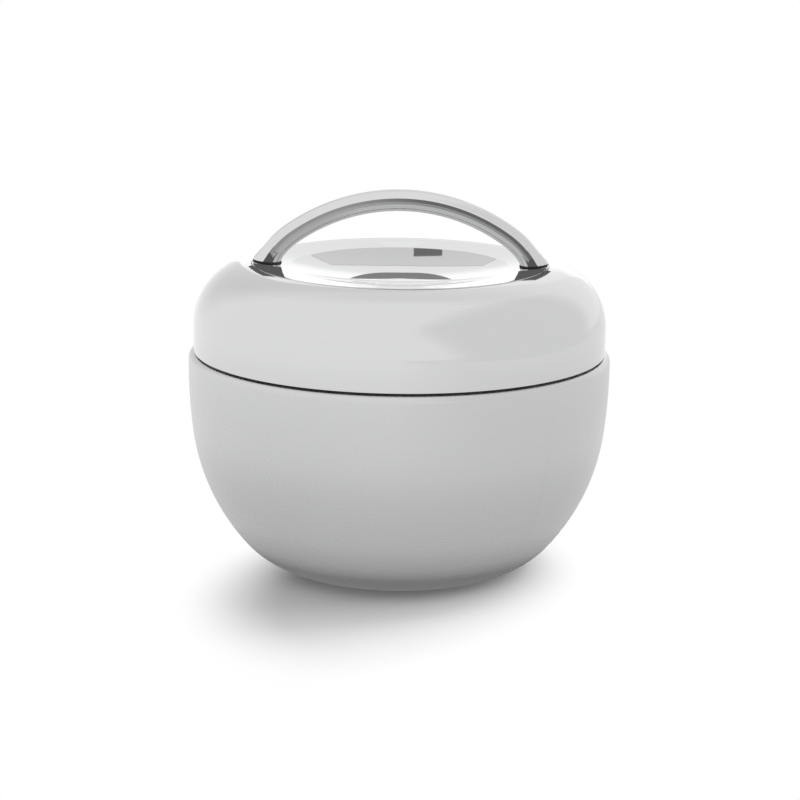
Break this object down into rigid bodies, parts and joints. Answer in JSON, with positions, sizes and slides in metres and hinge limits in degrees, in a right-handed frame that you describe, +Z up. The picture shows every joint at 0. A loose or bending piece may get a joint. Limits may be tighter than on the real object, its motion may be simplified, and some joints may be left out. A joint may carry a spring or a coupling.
{
  "type": "insulated food bowl",
  "caption": "Round double-walled stainless steel food bowl with a domed twist-lock lid, a dished polished top and an arched tube handle.",
  "frame": {"origin": "middle of the base, on the surface that the bowl stands on", "axes": "+Z up along the bowl's axis; +X along the handle's arch, to its right-hand foot; -Y to the front"},
  "size_m": [0.16, 0.16, 0.1447],
  "materials": {
    "brushed_shell": "satin",
    "polished_steel": "polished",
    "plain_steel": "satin",
    "inner_steel": "satin",
    "copper_foil": "satin",
    "seal_glass": "gloss",
    "dark_plastic": "matte",
    "silicone": "matte",
    "pad_rubber": "matte",
    "foam": "matte"
  },
  "bodies": {
    "bowl": {"outer_shell": "brushed_shell", "base_disc": "plain_steel", "vacuum_bead": "seal_glass", "base_cover": "plain_steel", "getter": "plain_steel", "inner_bowl": "inner_steel", "heat_foil": "copper_foil", "neck_ring": "dark_plastic"},
    "seal": {"lid_seal": "silicone"},
    "lid": {"lid_core": "dark_plastic", "lid_foam": "foam", "lid_liner": "inner_steel", "lid_shell": "brushed_shell", "top_plate": "polished_steel", "handle": "polished_steel", "end_plugs": "plain_steel", "foot_pads": "pad_rubber", "handle_screws": "plain_steel", "spring_washers": "plain_steel", "backing_washers": "plain_steel"}
  },
  "joints": [
    {"name": "lid_lift", "type": "slide", "parent": "bowl", "child": "seal", "axis": [0, 0, 1], "range_m": [0, 0.1]},
    {"name": "lid_twist", "type": "hinge", "parent": "seal", "child": "lid", "pos_m": [0, 0, 0.0833], "axis": [0, 0, 1], "range_deg": [-45, 0]}
  ]
}
